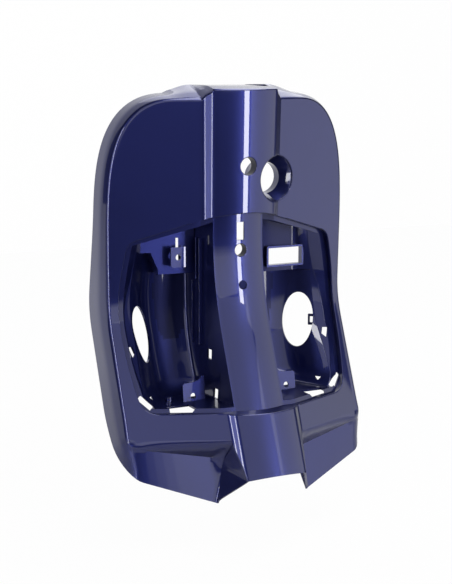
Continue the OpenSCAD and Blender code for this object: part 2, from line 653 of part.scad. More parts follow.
module collars() {
    along_y(0, 0, hook_r + wall, hook_y + wall / 2, hook_y + hook_d);
    intersection() {
        along_y(lock_x, lock_z, lock_r + wall, hook_y, lock_d);
        behind_front();
    }
    along_y(0, latch_z, latch_r + wall, latch_y + wall / 2, latch_y + latch_d);
}
module bores() {
    along_y(0, 0, hook_r, hook_y - 20, hook_y + hook_d + past);
    along_y(lock_x, lock_z, lock_r, hook_y - 20, lock_d + past);
    along_y(0, latch_z, latch_r, latch_y - 20, latch_y + latch_d + past);
    translate([roof_hole_x, roof_hole_y, column_z - 10]) cylinder(r = roof_hole_r, h = 40, $fn = 48);
    both_sides() tab_bore();
}
module shell() {
    difference() {
        union() {
            skin();
            intersection() {
                door_outline(wall);
                behind_front();
                recess(wall);
            }
            pockets(wall);
        }
        intersection() {
            door_outline();
            recess(0);
        }
        difference() {
            pockets(0);
            block(0);
        }
        block(wall);
    }
}
module leg_shield() {
    color(paint) difference() {
        union() {
            difference() {
                shell();
                both_sides() oval();
                both_sides() slots();
                tab_slots();
            }
            collars();
            both_sides() tab_plate();
            both_sides() rails();
            port(wall, step_y - 8, step_y + wall);
            bracket();
            floor_boss();
            staple();
        }
        bores();
        bracket_cuts();
        port(0, step_y - 8 - past, step_y + wall + past);
        translate([-slot_w / 2, latch_y - 20, slot_z - slot_h / 2]) cube([slot_w, 40, slot_h]);
        along_y(0, dimple_z, dimple_r, inset_y(0, dimple_z) - past, inset_y(0, dimple_z) + 1.5, 32);
    }
}

leg_shield();
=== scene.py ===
import math
import bmesh
import bpy
import numpy as np
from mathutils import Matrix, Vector


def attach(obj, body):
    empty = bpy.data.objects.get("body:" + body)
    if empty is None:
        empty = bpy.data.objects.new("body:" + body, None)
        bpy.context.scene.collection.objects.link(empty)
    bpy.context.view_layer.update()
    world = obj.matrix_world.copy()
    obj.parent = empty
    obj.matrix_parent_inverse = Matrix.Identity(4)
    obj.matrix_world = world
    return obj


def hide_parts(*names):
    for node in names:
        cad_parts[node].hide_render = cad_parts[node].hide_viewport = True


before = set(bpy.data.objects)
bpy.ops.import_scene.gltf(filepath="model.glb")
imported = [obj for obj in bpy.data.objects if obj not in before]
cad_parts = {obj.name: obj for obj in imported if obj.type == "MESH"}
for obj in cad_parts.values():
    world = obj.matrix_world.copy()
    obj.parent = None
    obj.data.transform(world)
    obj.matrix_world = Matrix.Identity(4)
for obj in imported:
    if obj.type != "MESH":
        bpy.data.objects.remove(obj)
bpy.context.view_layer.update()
scene = bpy.context.scene
MM = 0.001

# Sizes of the CAD model, in millimetres. The rider sits on the -Y side.
wall = 3.0
crease_round = 5.0
lean, sweep = 0.03, 0.4345
wing_half_w, crown_half_w, crown_z, side_z, crease_z = 198.5, 100.0, 98.0, -150.0, -403.0
crease_drop, wing_back, wing_bend_z, wing_bend_h = 25.0, 51.0, -219.0, 32.0
flange_d, flange_low_d, flange_flare, roof_rise, roof_back = 38.0, 60.0, 8.5, 8.0, 62.0
skirt_in, skirt_out, tip_half_w = 63.0, 42.0, 78.0
column_half_w, column_taper, foot_half_w, foot_taper, foot_d = 52.8, 0.0071, 64.3, 0.0125, 12.0
column_z, column_end_z, column_arch = 110.0, -450.0, 6.0
bulge, column_bend_z, column_bend_h = 13.0, -173.0, 80.0
crown_nx, crown_nz, roll_h, roll_back, roll_drop = 2.5, 4.0, 11.0, 28.0, 2.0
door_half_w, door_top_half_w, door_foot_half_w = 184.0, 169.0, 171.0
door_top_z, door_corner_z, door_wide_z, door_foot_z = -72.0, -112.0, -225.0, -358.0
ledge_d, ledge_w, inset_d, inset_half_w, inset_bulge = 10.0, 6.0, 20.0, 40.0, 9.5
pocket_back, pocket_sweep, pocket_lean, pocket_corner_x, pocket_round = 116.0, 0.02, 0.45, 113.0, 26.0
floor_z, floor_round, step_z, step_y, step_corner_x = -270.0, 22.0, -176.0, 86.0, 132.0
blade_w, blade_z, blade_half_h = 13.0, -246.0, 82.0
oval_l, oval_h, oval_z, oval_x, slant_deg = 51.0, 86.0, -257.0, 138.0, 47.0
hook_r, hook_d, lock_r, lock_x, lock_z, lock_d = 13.0, 18.0, 30.5, 51.0, -22.0, 56.0
roof_hole_r, roof_hole_x, roof_hole_y = 20.0, 36.0, 31.0
latch_r, latch_z, latch_d, dimple_r, dimple_z, dimple_d = 9.5, -128.0, 15.0, 7.0, -180.0, 1.5
slot_w, slot_h, slot_z = 12.0, 27.0, -99.0
foot_slot_w, foot_slot_h, foot_slot_x = 36.0, 7.0, 114.0
corner_slot_l, corner_slot_h, corner_slot_x, corner_slot_z = 26.0, 8.0, 162.0, -345.0
floor_slot_w, floor_slot_l, floor_slot_x, floor_slot_y = 14.0, 16.0, 149.0, 33.0
tab_slot_w, tab_slot_l, slit_w, slit_h = 20.0, 26.0, 14.0, 15.0
inner_slits = ((34, -287), (12, -344))
outer_slit_x, outer_slit_y, outer_slit_z, outer_slit_l, outer_slit_t = 172.0, 54.0, -275.0, 24.0, 8.0
tab_w, tab_t, tab_x, tab_y, tab_z, tab_rise, tab_hole_r = 38.0, 3.0, 80.0, 18.0, -345.0, 20.0, 4.5
port_w, port_h, port_x, port_z, port_frame_d = 60.0, 27.0, 111.0, -152.0, 8.0
bracket_w, bracket_h, bracket_x, bracket_z, bracket_d = 25.0, 31.0, 79.0, -141.0, 16.0
rail_in, rail_w, rail_t, boss_x, boss_y, boss_h = 4.5, 6.5, 3.0, -114.0, 30.0, 6.5
staple_l, staple_h, staple_eye_l, staple_eye_h = 11.0, 18.0, 10.0, 10.0

# Sizes that only the visible shape has, in millimetres and degrees
lip_r, lock_lip_r, latch_lip_r, slot_lip_r = 1.3, 2.0, 1.0, 0.6
funnel_x, funnel_r, funnel_y, bore_r, bore_y = lock_x + 5.5, lock_r + 4, 20.0, 24.0, 36.0
tab_tilt, tab_turn, fitting_turn = -8.0, 6.0, 0.08

# How the front is divided, and its roundings
bulge_end, column_n, wing_n, arc_n, flank_n = 0.9, 12, 30, 7, 3
flank_round, foot_round, foot_draw = 3.2, 3.5, 2.5
side_rows, crown_rows, roll_n, rim_n = 52, 40, 9, 9
edge_i, foot_i = column_n + 1, column_n + 1 + 2 * arc_n + flank_n
spread_z, spread_power, turn_h, turn_power = -288.0, 0.7, 40.0, 4
crease_rise, low_z = crease_round * 0.6, crease_z + roll_h
pocket_floor_z = door_foot_z + ledge_w


def ramp(t, h):
    """Gentle start of a bend: nothing before it, straight after it, parabolic between."""
    return 0.0 if t < -h else t if t > h else (t + h) ** 2 / (4 * h)


def lerp(a, b, t):
    return a + (b - a) * t


def clamp01(t):
    return max(0.0, min(1.0, t))


def smooth(t):
    t = clamp01(t)
    return t * t * (3 - 2 * t)


def bezier(p, c, q, t):
    return (1 - t) ** 2 * p + 2 * t * (1 - t) * c + t * t * q


def arc(a, c, b, reach, count):
    """Rounds the corner c between a and b, reaching the same length along both sides."""
    a, c, b = (np.array(v, float) for v in (a, c, b))
    p = c + (a - c) / np.linalg.norm(a - c) * reach
    q = c + (b - c) / np.linalg.norm(b - c) * reach
    return [bezier(p, c, q, k / (count - 1)) for k in range(count)]


# The front's surfaces

def column_y(z):
    return lean * (column_z - z) - sweep * ramp(column_bend_z - z, column_bend_h)


def wing_y(z):
    return lean * (column_z - z) - sweep * ramp(wing_bend_z - z, wing_bend_h)


def column_w(z):
    return column_half_w - column_taper * (column_z - z)


def foot_w(z):
    return foot_half_w - foot_taper * (column_z - z)


def foot_y(z):
    return column_y(z) + foot_d - foot_draw * (column_z - z) / (column_z - crease_z)


def face_y(x, z):
    """Depth of the front, before its edges are rounded."""
    x, cw, fw = abs(x), column_w(z), foot_w(z)
    if x < cw:
        return column_y(z) - bulge * (1 - (x / cw) ** 2)
    if x < fw:
        return lerp(column_y(z), foot_y(z), (x - cw) / (fw - cw))
    return lerp(foot_y(z), wing_y(z) + wing_back, (x - fw) / (wing_half_w - fw))


def half_section(z, w):
    """Front section at height z, from the middle to the crease."""
    cw, fw = column_w(z), foot_w(z)
    e, f = np.array([cw, column_y(z)]), np.array([fw, foot_y(z)])
    inner = np.array([cw * bulge_end, column_y(z) - bulge * (1 - bulge_end ** 2)])
    rim = np.array([w, face_y(w, z)])
    rounded, foot = arc(inner, e, f, flank_round, arc_n), arc(e, f, rim, foot_round, arc_n)
    out = [np.array([cw * s, column_y(z) - bulge * (1 - s * s)])
           for s in [k * bulge_end / column_n for k in range(column_n + 1)]]
    out += rounded + [lerp(rounded[-1], foot[0], k / (flank_n + 1)) for k in range(1, flank_n + 1)]
    return out + foot + [lerp(foot[-1], rim, (k + 1) / wing_n) for k in range(wing_n)]


# Height and half width of each row, from the rolled edge up and over the rounded corners
rows = [(z, wing_half_w - crease_round) for z in np.linspace(low_z, side_z, side_rows)]
for k in range(1, crown_rows + 1):
    a = math.pi / 2 * k / crown_rows
    rise, draw = math.sin(a) ** (2 / crown_nz), max(0, math.cos(a)) ** (2 / crown_nx)
    rows.append((lerp(side_z, crown_z - crease_rise, rise),
                 lerp(crown_half_w, wing_half_w - crease_round, draw)))
half_n, row_n = len(half_section(*rows[0])), len(rows)


def flank_share(j):
    """0 on the column and 1 on the wing, with the change in the middle of the flank."""
    return clamp01((j - edge_i - flank_n) / (foot_i - edge_i - 2 * flank_n))


def grid_z(i, j, x):
    """Height of a grid point. The end rows follow the crease and the column's ends."""
    z, share = rows[i][0], flank_share(j)
    low = lerp(column_end_z + column_arch * (1 - (x / column_half_w) ** 2),
               low_z - roll_drop * clamp01((wing_half_w - x) / (wing_half_w - foot_half_w)), share)
    if z < spread_z:
        z = lerp(low, z, ((z - low_z) / (spread_z - low_z)) ** spread_power) if z > low_z else low
    top = lerp(column_z, rows[-1][0], share)
    return z if z < side_z else side_z + (z - side_z) * (top - side_z) / (rows[-1][0] - side_z)


def grid_point(i, j):
    z = grid_z(i, j, half_section(*rows[i])[j][0])
    x, y = half_section(z, rows[i][1])[j]
    return np.array([x, y, z])


# The rim: the rolled edge and skirt below, the flange behind

def skirt_share(x):
    return clamp01((x - foot_half_w) / (wing_half_w - foot_half_w))


def turn(z):
    """Share by which the flange has turned into the skirt."""
    return (1 - clamp01((z - low_z) / turn_h)) ** turn_power


def crown_dir(i):
    """Outward direction of row i's end, in the front view."""
    z, w = rows[i]
    if z <= side_z:
        return np.array([1.0, 0.0])
    t, u = (z - side_z) / (crown_z - side_z), (w - crown_half_w) / (wing_half_w - crown_half_w)
    v = np.array([max(u, 1e-4) ** (crown_nx - 1) / (wing_half_w - crown_half_w),
                  t ** (crown_nz - 1) / (crown_z - side_z)])
    return v / np.linalg.norm(v)


def low_crease(x):
    t = skirt_share(x)
    return np.array([x + crease_round * t, face_y(x, crease_z) + roll_back * (1 - t),
                     crease_z - crease_drop * (1 - t)])


def skirt_end(x):
    """Lower edge of the skirt, a little in front of its crease."""
    t, c = skirt_share(x), low_crease(x)
    flared, tip_draw, front_in, front_out = wing_half_w + 8, 0.15, 12, 4
    return np.array([tip_half_w + t * (flared - tip_half_w) + min(0, x - foot_half_w) * tip_draw,
                     c[1] - lerp(front_in, front_out, t), c[2] - lerp(skirt_in, skirt_out, t)])


def skirt_curve(b, j):
    """From the front's lower edge round the rolled edge to the crease, then down the skirt."""
    c, e, share = low_crease(b[0]), skirt_end(b[0]), flank_share(j)
    if share == 0:
        return [b] * (roll_n + rim_n)
    if share < 1:
        foot, start = grid[0][foot_i], grid[0][edge_i + flank_n]
        c, e = lerp(start, low_crease(foot[0]), share), lerp(start, skirt_end(foot[0]), share)
        bend = lerp(b, c, 0.5) + np.array([0, -0.1, -0.35]) * roll_h * share
    else:
        bend = b + np.array([0, -0.35, -0.9]) * roll_h
    line = [b] + [bezier(b, bend, c, (k + 1) / roll_n) for k in range(roll_n)] + \
        [lerp(c, e, (k + 1) / rim_n) for k in range(rim_n)]
    # The skirt's inner end is smoothed into a soft curve
    fade, passes = clamp01(1 - skirt_share(b[0]) / 0.08), 14
    for _ in range(passes if fade else 0):
        line[2:-1] = [lerp(q, 0.5 * (p + r), 0.5 * fade)
                      for p, q, r in zip(line[1:], line[2:], line[3:])]
    return line[1:]


def flange_curve(b, i, top=False):
    """From the front's edge round the crease, then back along the flange, which bends softly once."""
    d = np.array([0.0, 1.0]) if top else crown_dir(i)
    if top:
        blend_w, behind = 55, 2
        share = smooth((b[0] - foot_half_w) / blend_w)
        e = np.array([b[0], lerp(roof_back, b[1] + flange_d + behind, share),
                      lerp(column_z + roof_rise, b[2] + flange_flare + crease_rise, share)])
    else:
        deepen_z, deepen_h, turn_loss, skirt_over = -60, 180, 0.6, 6
        depth = lerp(flange_d, flange_low_d, smooth((deepen_z - b[2]) / deepen_h))
        depth *= 1 - turn_loss * turn(b[2])
        out = (crease_round + flange_flare) * lerp(d[0], 1, turn(b[2]))
        e = np.array([b[0] + out, b[1] + depth, b[2] + d[1] * (crease_rise + flange_flare)
                      - (skirt_out - skirt_over) * turn(b[2])])
    c = b + np.array([d[0] * crease_round, crease_round * 0.25 * d[0], d[1] * crease_rise])
    if not top and i == 0:
        c[2] = crease_z
    m = lerp(c, e, 0.4) + np.array([d[0], 0, d[1]]) * flange_flare * 0.3
    q = lerp(c, m, 0.3)
    before, soft = lerp(q, m, 0.7), lerp(m, e, 0.3)
    bent = [bezier(before, m, soft, t) for t in (0, 0.25, 0.5, 0.75, 1)]
    straight_n = rim_n - len(bent)
    return [bezier(b, c, q, (k + 1) / roll_n) for k in range(roll_n)] + bent + \
        [lerp(soft, e, (k + 1) / straight_n) for k in range(straight_n)]


grid = [[grid_point(i, j) for j in range(half_n)] for i in range(row_n)]
curves = [skirt_curve(grid[0][j], j) for j in range(half_n - 1)]
corner_k = len(curves)
curves += [flange_curve(grid[i][-1], i) for i in range(row_n - 1)]
curves += [flange_curve(grid[-1][j], row_n - 1, True) for j in range(half_n - 1, -1, -1)]
starts = [grid[0][j] for j in range(half_n - 1)] + [grid[i][-1] for i in range(row_n - 1)] + \
    [grid[-1][j] for j in range(half_n - 1, -1, -1)]


def ease_corner(at, reach, passes):
    """Rounds the rim where it turns, more at its far edge than at the crease."""
    first, power = 2, 0.7
    for _ in range(passes):
        old = [list(c) for c in curves]
        for k in range(at - reach, at + reach + 1):
            fade = 1 - (abs(k - at) / (reach + 1)) ** 2
            for r in range(1, roll_n + rim_n):
                share = fade * clamp01((r - first) / (rim_n + 4)) ** power * 0.5
                curves[k][r] = lerp(old[k][r], 0.5 * (old[k - 1][r] + old[k + 1][r]), share)


ease_corner(corner_k, 4, 10)


def front_sheet():
    """The front and its rim as one open sheet: points and four-sided faces, right half first."""
    points, faces, index = [], [], {}

    def vertex(p):
        key = tuple(np.round(p, 4))
        if key not in index:
            index[key] = len(points)
            points.append(p)
        return index[key]

    for side in (1, -1):
        flip = np.array([side, 1, 1])
        ids = [[vertex(grid[i][j] * flip) for j in range(half_n)] for i in range(row_n)]
        rim = [[vertex(start * flip)] + [vertex(p * flip) for p in curve]
               for start, curve in zip(starts, curves)]
        quads = [(ids[i][j], ids[i][j + 1], ids[i + 1][j + 1], ids[i + 1][j])
                 for i in range(row_n - 1) for j in range(half_n - 1)]
        quads += [(rim[k + 1][r], rim[k][r], rim[k][r + 1], rim[k + 1][r + 1])
                  for k in range(len(curves) - 1) for r in range(roll_n + rim_n)]
        for q in quads:
            q = list(dict.fromkeys(q))
            if len(q) > 2:
                faces.append(q if side == 1 else q[::-1])
    return points, faces


# Solids and cuts

def make_mesh(name, points, faces, cut=False, sharp=35.0):
    """A closed solid in metres whose smooth normals are kept through the cuts; a cutter's point inwards.

    The face attribute made here holds the painted shade on what a cutter leaves behind: 1 in the recess and
    pockets, 2 in a bore.
    """
    mesh = bpy.data.meshes.new(name)
    mesh.from_pydata([tuple(np.array(p) * MM) for p in points], [], [tuple(f) for f in faces])
    bm = bmesh.new()
    bm.from_mesh(mesh)
    bmesh.ops.remove_doubles(bm, verts=bm.verts, dist=1e-7)
    bmesh.ops.recalc_face_normals(bm, faces=bm.faces)
    if bm.calc_volume(signed=True) < 0:
        bmesh.ops.reverse_faces(bm, faces=bm.faces)
    bm.to_mesh(mesh)
    bm.free()
    mesh.shade_smooth()
    mesh.set_sharp_from_angle(angle=math.radians(sharp))
    normals = np.zeros(len(mesh.loops) * 3, np.float32)
    mesh.corner_normals.foreach_get("vector", normals)
    kept = mesh.attributes.new("kept_normal", "FLOAT_VECTOR", "CORNER")
    kept.data.foreach_set("vector", -normals if cut else normals)
    # Painted shade: none on outer faces, 1 on faces left by a cut, 2 in bores, which go near black
    inner = mesh.attributes.new("painted_shade", "FLOAT", "FACE")
    depth = 0.0 if not cut else 2.0 if name == "bore" else 1.0
    inner.data.foreach_set("value", np.full(len(mesh.polygons), depth, np.float32))
    made = bpy.data.objects.new(name, mesh)
    scene.collection.objects.link(made)
    return made


def apply_boolean(base, other, operation):
    step = base.modifiers.new("step", "BOOLEAN")
    step.operation, step.object, step.solver = operation, other, "MANIFOLD"
    evaluated = base.evaluated_get(bpy.context.evaluated_depsgraph_get())
    result = bpy.data.meshes.new_from_object(evaluated)
    base.modifiers.remove(step)
    old, base.data = base.data, result
    bpy.data.meshes.remove(old)
    bpy.data.objects.remove(other)


def add(base, other):
    apply_boolean(base, other, "UNION")


def cut_off(base, other):
    apply_boolean(base, other, "DIFFERENCE")


def keep_common(base, other):
    apply_boolean(base, other, "INTERSECT")


def loft(name, sections, cut=False, sharp=35.0):
    """Stacked closed sections of equal count as one closed solid."""
    n = len(sections[0])
    faces = [list(range(n)), [(len(sections) - 1) * n + j for j in range(n)]]
    for i in range(len(sections) - 1):
        for j in range(n):
            faces.append([i * n + j, i * n + (j + 1) % n, (i + 1) * n + (j + 1) % n, (i + 1) * n + j])
    return make_mesh(name, [p for s in sections for p in s], faces, cut, sharp)


def lip(outline, surface, reach=lip_r):
    """Cutter that rounds the edge of an opening in a surface.

    outline is (x, z) points and depth is along +Y. Its closed sections run round the opening.
    """
    pts = np.array(outline)
    around = np.roll(pts, -1, 0) - np.roll(pts, 1, 0)
    out = np.stack([around[:, 1], -around[:, 0]], 1)
    area = np.sum(pts[:, 0] * np.roll(pts[:, 1], -1) - np.roll(pts[:, 0], -1) * pts[:, 1])
    out *= (1 if area > 0 else -1) / np.linalg.norm(out, axis=1)[:, None]
    steps, inside, in_front, overlap = 5, -1.5, -3, 0.01
    profile = [(reach * (1 - math.sin(a)) - overlap, reach * (1 - math.cos(a)))
               for a in [math.pi / 2 * k / steps for k in range(steps + 1)]]
    profile += [(inside, reach), (inside, in_front), (reach, in_front)]
    points = []
    for p, n in zip(pts, out):
        for off, depth in profile:
            x, z = p + n * off
            points.append((x, surface(*(p + n * max(off, 0))) + depth, z))
    n, m = len(profile), len(pts)
    faces = [[i * n + j, i * n + (j + 1) % n, (i + 1) % m * n + (j + 1) % n, (i + 1) % m * n + j]
             for i in range(m) for j in range(n)]
    return make_mesh("lip", points, faces, True, 50)


def prism(name, outline, y0, y1, cut=False):
    return loft(name, [[(x, y, z) for x, z in outline] for y in (y0, y1)], cut)


def along_z(outline, z0, z1, cut=False):
    return loft("upright", [[(x, y, z) for x, y in outline] for z in (z0, z1)], cut)


def along_x(outline, x0, x1, cut=False):
    return loft("across", [[(x, y, z) for y, z in outline] for x in (x0, x1)], cut)


def circle(x, z, r, count=72):
    return [(x + r * math.cos(2 * math.pi * k / count), z + r * math.sin(2 * math.pi * k / count))
            for k in range(count)]


def tube_y(x, z, r, y0, y1, cut=False, count=72):
    return prism("tube", circle(x, z, r, count), y0, y1, cut)


def rect(x0, x1, z0, z1, round_r=0.0, turned=0.0):
    """Outline of a rectangle with rounded corners, turned about its middle."""
    points, c, s = [], math.cos(math.radians(turned)), math.sin(math.radians(turned))
    xm, zm = (x0 + x1) / 2, (z0 + z1) / 2
    for cx, cz, a0 in ((x1, z1, 0), (x0, z1, 90), (x0, z0, 180), (x1, z0, 270)):
        for k in range(6 if round_r else 1):
            a = math.radians(a0 + 18 * k)
            dx = cx - round_r * (1 if cx == x1 else -1) + round_r * math.cos(a) - xm
            dz = cz - round_r * (1 if cz == z1 else -1) + round_r * math.sin(a) - zm
            points.append((xm + dx * c - dz * s, zm + dx * s + dz * c))
    return points


def rect_at(x, z, w, h, round_r=0.0, turned=0.0):
    return rect(x - w / 2, x + w / 2, z - h / 2, z + h / 2, round_r, turned)


# The door recess

def door_side(z):
    half, span = (door_top_half_w, door_corner_z - door_wide_z) if z > door_wide_z else \
        (door_foot_half_w, door_wide_z - door_foot_z)
    return door_half_w - ((z - door_wide_z) / span) ** 2 * (door_half_w - half)


def door_outline(grow=0.0):
    rise, arch, top_round, foot_round_r = 2, 6, 12, 24
    top, side = (column_half_w, door_top_z + rise - arch), (door_top_half_w, door_corner_z)
    below, above = door_corner_z - 20, door_foot_z + 40
    half = [(s * column_half_w, door_top_z + rise - arch * s ** 2) for s in np.linspace(0, 0.9, 10)]
    half += [lerp(np.array(top), np.array(side), t) for t in (0.03, 0.25, 0.5, 0.75)]
    half += arc(top, side, (door_side(below), below), top_round, 9)
    half += [(door_side(z), z) for z in np.linspace(below + 4, above - 10, 34)]
    half += arc((door_side(above), above), (door_foot_half_w, door_foot_z), (0, door_foot_z),
                foot_round_r, 14)
    half += [(x, door_foot_z) for x in np.linspace(door_foot_half_w - 30, 0, 16)]
    pts = np.array([tuple(p) for p in half] + [(-p[0], p[1]) for p in half[-2:0:-1]])
    around = np.roll(pts, -1, 0) - np.roll(pts, 1, 0)
    out = np.stack([-around[:, 1], around[:, 0]], 1)
    return pts + out / np.linalg.norm(out, axis=1)[:, None] * grow


def ledge_y(x, z):
    return face_y(max(abs(x), foot_w(z)), z) + ledge_d


def inset_y(x, z):
    return column_y(z) + inset_d - inset_bulge * (1 - (x / inset_half_w) ** 2)


recess_low_z, recess_front = door_foot_z - 27, 60


def recess(grow, cut=False):
    """All that lies in front of the ledge and of the recessed part of the column."""
    sections = []
    for z in np.linspace(recess_low_z, door_top_z + 12, 64):
        half = [(wing_half_w, column_y(z) - recess_front)]
        half += [(x, ledge_y(x, z) + grow) for x in np.linspace(wing_half_w, foot_w(z) + 0.01, 16)]
        half += [(inset_half_w + 1.5, inset_y(inset_half_w, z) + grow)]
        half += [(x, inset_y(x, z) + grow) for x in inset_half_w * np.linspace(0.97, 0.06, 14)]
        sections.append([(x, y, z) for x, y in half] + [(0, inset_y(0, z) + grow, z)] +
                        [(-x, y, z) for x, y in half[::-1]])
    return loft("recess", sections, cut, 40)


def behind_front():
    """All that lies behind the middle of the front's wall."""
    edge, back, sections = wing_half_w - 4, 140, []
    for z in np.linspace(recess_low_z, 100, 60):
        xs = [0, 10, 20, 30, 40, column_w(z) - 1, foot_w(z) + 1, 120, edge]
        half = [(x, face_y(x, z) + wall / 2) for x in xs]
        sections.append([(-x, y, z) for x, y in half[::-1]] + [(x, y, z) for x, y in half[1:]] +
                        [(edge, back, z), (-edge, back, z)])
    return loft("behind", sections)


# The pockets

def back_y(z):
    return pocket_back + pocket_sweep * z - pocket_lean * ramp(floor_z - z, 60)


def floor_curve(z):
    """How far the back wall's rounded foot stands in front of the wall."""
    h = clamp01((z - pocket_floor_z) / floor_round)
    return floor_round * (1 - math.sqrt(1 - (1 - h) ** 2))


def pocket_top(x):
    return lerp(door_top_z - 6, door_corner_z, clamp01((x - 50) / 115)) - ledge_w


def pocket_side(z):
    turn_in, corner_h = 14, 24
    low = door_foot_z + corner_h
    return door_side(z) - ledge_w - (turn_in * ((low - z) / corner_h) ** 2 if z < low else 0)


def blade(z):
    """Width of the lens-shaped band between the ledge and the slanted wall."""
    return max(1.0, blade_w * (1 - ((z - blade_z) / blade_half_h) ** 2))


def pocket_section(z, grow, high):
    """One level of a pocket: ledge, dark strip, band, slanted wall, back wall, inner wall.

    From 30 to 100 mm above the recess's lower edge the band moves inwards and back. high is for the
    stepped upper wall.
    """
    out, inset_w = pocket_side(z), inset_half_w
    y0, wide = ledge_y(out, z), clamp01((z - door_foot_z - 30) / 70)
    front = -1 if grow > 0 else 6
    yb = (step_y if high else back_y(z) - floor_curve(z)) + grow
    band = np.array([out - 10 - 10 * wide + grow * 0.4, y0 + 5 + 8 * wide + grow])
    rim = band + blade(z) * np.array([1, -0.4]) + np.array([grow * 0.3, -grow * 0.2])
    back = (step_corner_x if high else pocket_corner_x + grow * 0.4, yb)
    turn_x, inner = (inset_w + 24, yb), (inset_w + 8 - grow, yb - (0 if high else 2))
    edge, reach = (out + grow, y0 - front), min(1.0, blade(z) * 0.3)
    section = [(inset_w + 1 - grow, inset_y(inset_w, z) - front),
               (foot_w(z), ledge_y(foot_w(z), z) - front), edge]
    section += arc(edge, rim, band, reach, 3) + arc(rim, band, back, reach, 3)
    section += arc(band, back, turn_x, 6 if high else pocket_round, 14)
    return section + arc(back, turn_x, inner, 4, 3) + arc(turn_x, inner, (inner[0], 0), 5, 6)


def pocket(side, grow, cut=False):
    """side is 1 for the right pocket, which has the stepped upper wall, and -1 for the left one."""
    stepped = side > 0
    levels = [pocket_floor_z + h * floor_round for h in (0, 0.03, 0.09, 0.18, 0.3, 0.45, 0.65, 0.85, 1)]
    levels += list(np.linspace(pocket_floor_z + floor_round + 6, step_z - 2, 24))
    levels = [(z, False) for z in levels] + [(z, stepped) for z in (step_z, -150, -135)]
    sections = [[(x * side, y, z - (grow if z == pocket_floor_z else 0))
                 for x, y in pocket_section(z, grow, high)] for z, high in levels]
    last = pocket_section(door_corner_z - ledge_w, grow, stepped)
    sections.append([(x * side, y, pocket_top(x) + grow) for x, y in last])
    return loft("pocket", sections, cut, 32)


def upper_block(grow, cut=False):
    """The left pocket's shallow upper wall, whose outer part stops higher up."""
    right, low, mid = -inset_half_w - 7 - grow, step_z + 8 + grow, step_z + 42 + grow
    top, middle_x, depth = door_top_z + 12 - grow, 98, 60
    corner_x, turn_x, step_x, outer_x = (x + grow for x in (-105, -106, -117, -150))
    outline = [(right, low), (corner_x, low), (turn_x, low + 8 - grow), (step_x, mid),
               (outer_x, mid), (outer_x, top), (right, top)]
    return loft("block", [[(x, y - fitting_turn * (x + middle_x), z) for x, z in outline]
                          for y in (step_y + grow, step_y + grow + depth)], cut)


def slant(side, u, v, along):
    """A point near an oval opening: u towards the middle, v up and along through the slanted wall."""
    c, s = math.cos(math.radians(slant_deg)), math.sin(math.radians(slant_deg))
    y = back_y(oval_z) + (pocket_corner_x - oval_x) * math.tan(math.radians(90 - slant_deg))
    return (side * (oval_x + along * c - u * s), y + along * s + u * c, oval_z + v)


def slanted(side, outline, a0, a1, cut=False):
    return loft("slanted", [[slant(side, u, v, a) for u, v in outline] for a in (a0, a1)], cut)


def oval(side):
    outline = [(oval_l / 2 * math.cos(a), oval_h / 2 * math.sin(a))
               for a in np.linspace(0, 2 * math.pi, 73)[:-1]]
    return slanted(side, outline, -30, 30, True)


# Tabs, slots and fittings of the pockets

def tab(side):
    """Screw tab whose top sweeps up towards the column, leaning back."""
    foot = pocket_floor_z - tab_z - 2
    corners = [(-0.55, foot), (0.45, foot)]
    corners += [(u, tab_rise * v) for u, v in
                ((0.45, 0.85), (0.38, 1), (-0.1, 1.05), (-0.3, 1.15), (-0.42, 1.4), (-0.55, 1.45))]
    c, s = math.cos(math.radians(tab_tilt)), math.sin(math.radians(tab_tilt))
    turned = math.tan(math.radians(tab_turn))
    return loft("tab", [[(side * (tab_x + tab_w * u), tab_y + d * c - v * s + side * tab_w * u * turned,
                          tab_z + d * s + v * c) for u, v in corners] for d in (-tab_t / 2, tab_t / 2)])


def slots(shield):
    """Slots and slits of both pockets, cut before the fittings are added."""
    low = pocket_floor_z - 6
    for side in (1, -1):
        def mirrored(outline):
            return [(side * x, z) for x, z in outline]
        y = ledge_y(foot_slot_x, door_foot_z)
        foot_slot = rect_at(foot_slot_x, door_foot_z + foot_slot_h / 2, foot_slot_w, foot_slot_h)
        cut_off(shield, prism("slot", mirrored(foot_slot), y - 5, y + 21, True))
        y = ledge_y(corner_slot_x, corner_slot_z)
        corner_slot = rect_at(corner_slot_x, corner_slot_z, corner_slot_l, corner_slot_h, 1.5, 45)
        cut_off(shield, prism("slot", mirrored(corner_slot), y - 5, y + 17, True))
        floor_slot = rect_at(floor_slot_x, floor_slot_y, floor_slot_w, floor_slot_l, 2)
        cut_off(shield, along_z(mirrored(floor_slot), low, pocket_floor_z + 10.5, True))
        for y, z in inner_slits:
            cut_off(shield, along_x(rect_at(y, z, slit_w, slit_h, 1), side * (inset_half_w - 3),
                                    side * (inset_half_w + 11), True))
        # The outer slit goes square through the slanted wall, whose cosine and sine these are
        c, s, half_l, half_t = 0.682, 0.731, outer_slit_l / 2, outer_slit_t / 2
        slit = [(side * (outer_slit_x + a * c - u * s), outer_slit_y + a * s + u * c)
                for a, u in ((-half_l, -half_t), (half_l, -half_t), (half_l, half_t), (-half_l, half_t))]
        z0, z1 = outer_slit_z - slit_h / 2, outer_slit_z + slit_h / 2
        cut_off(shield, along_z(slit, z0, z1, True))
        behind_tab = rect_at(side * tab_x + 16, tab_y + 35, tab_slot_w, tab_slot_l, 2)
        cut_off(shield, along_z(behind_tab, low, pocket_floor_z + 3, True))


